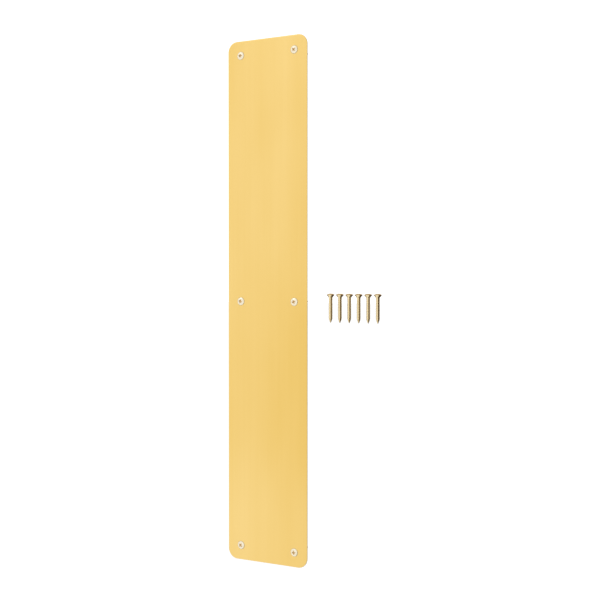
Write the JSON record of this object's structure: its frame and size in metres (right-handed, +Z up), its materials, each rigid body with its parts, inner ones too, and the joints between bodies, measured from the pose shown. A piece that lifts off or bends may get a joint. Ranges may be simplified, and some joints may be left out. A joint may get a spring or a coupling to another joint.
{
  "type": "kick plate",
  "caption": "Long flat satin brass kick plate with rounded corners, countersunk oval-head wood screws in its edges, and loose screws of the same kind in a row beside it.",
  "frame": {"origin": "centre of the plate's back face, the face that lies on the door", "axes": "+Z up the plate's long side, +X across the plate towards the loose screws, +Y out of the back face into the door, so the polished face looks along -Y"},
  "size_m": [0.2849, 0.0496, 0.8636],
  "materials": {
    "plate_brass": "satin, brushed along the plate's length",
    "screw_brass": "bright pale brass"
  },
  "bodies": {
    "plate": {"plate": "plate_brass"},
    "screw_top_left": {"screw_top_left": "screw_brass"},
    "screw_top_right": {"screw_top_right": "screw_brass"},
    "screw_middle_left": {"screw_middle_left": "screw_brass"},
    "screw_middle_right": {"screw_middle_right": "screw_brass"},
    "screw_bottom_left": {"screw_bottom_left": "screw_brass"},
    "screw_bottom_right": {"screw_bottom_right": "screw_brass"},
    "loose_screw_1": {"loose_screw_1": "screw_brass"},
    "loose_screw_2": {"loose_screw_2": "screw_brass"},
    "loose_screw_3": {"loose_screw_3": "screw_brass"},
    "loose_screw_4": {"loose_screw_4": "screw_brass"},
    "loose_screw_5": {"loose_screw_5": "screw_brass"},
    "loose_screw_6": {"loose_screw_6": "screw_brass"}
  },
  "joints": [
    {"name": "screw_top_left_out", "type": "slide", "parent": "plate", "child": "screw_top_left", "axis": [0, -1, 0], "range_m": [0, 0.048]},
    {"name": "screw_top_right_out", "type": "slide", "parent": "plate", "child": "screw_top_right", "axis": [0, -1, 0], "range_m": [0, 0.048]},
    {"name": "screw_middle_left_out", "type": "slide", "parent": "plate", "child": "screw_middle_left", "axis": [0, -1, 0], "range_m": [0, 0.048]},
    {"name": "screw_middle_right_out", "type": "slide", "parent": "plate", "child": "screw_middle_right", "axis": [0, -1, 0], "range_m": [0, 0.048]},
    {"name": "screw_bottom_left_out", "type": "slide", "parent": "plate", "child": "screw_bottom_left", "axis": [0, -1, 0], "range_m": [0, 0.048]},
    {"name": "screw_bottom_right_out", "type": "slide", "parent": "plate", "child": "screw_bottom_right", "axis": [0, -1, 0], "range_m": [0, 0.048]},
    {"name": "loose_screw_1_up", "type": "slide", "parent": "plate", "child": "loose_screw_1", "axis": [0, 0, 1], "range_m": [0, 0.06]},
    {"name": "loose_screw_2_up", "type": "slide", "parent": "plate", "child": "loose_screw_2", "axis": [0, 0, 1], "range_m": [0, 0.06]},
    {"name": "loose_screw_3_up", "type": "slide", "parent": "plate", "child": "loose_screw_3", "axis": [0, 0, 1], "range_m": [0, 0.06]},
    {"name": "loose_screw_4_up", "type": "slide", "parent": "plate", "child": "loose_screw_4", "axis": [0, 0, 1], "range_m": [0, 0.06]},
    {"name": "loose_screw_5_up", "type": "slide", "parent": "plate", "child": "loose_screw_5", "axis": [0, 0, 1], "range_m": [0, 0.06]},
    {"name": "loose_screw_6_up", "type": "slide", "parent": "plate", "child": "loose_screw_6", "axis": [0, 0, 1], "range_m": [0, 0.06]}
  ]
}
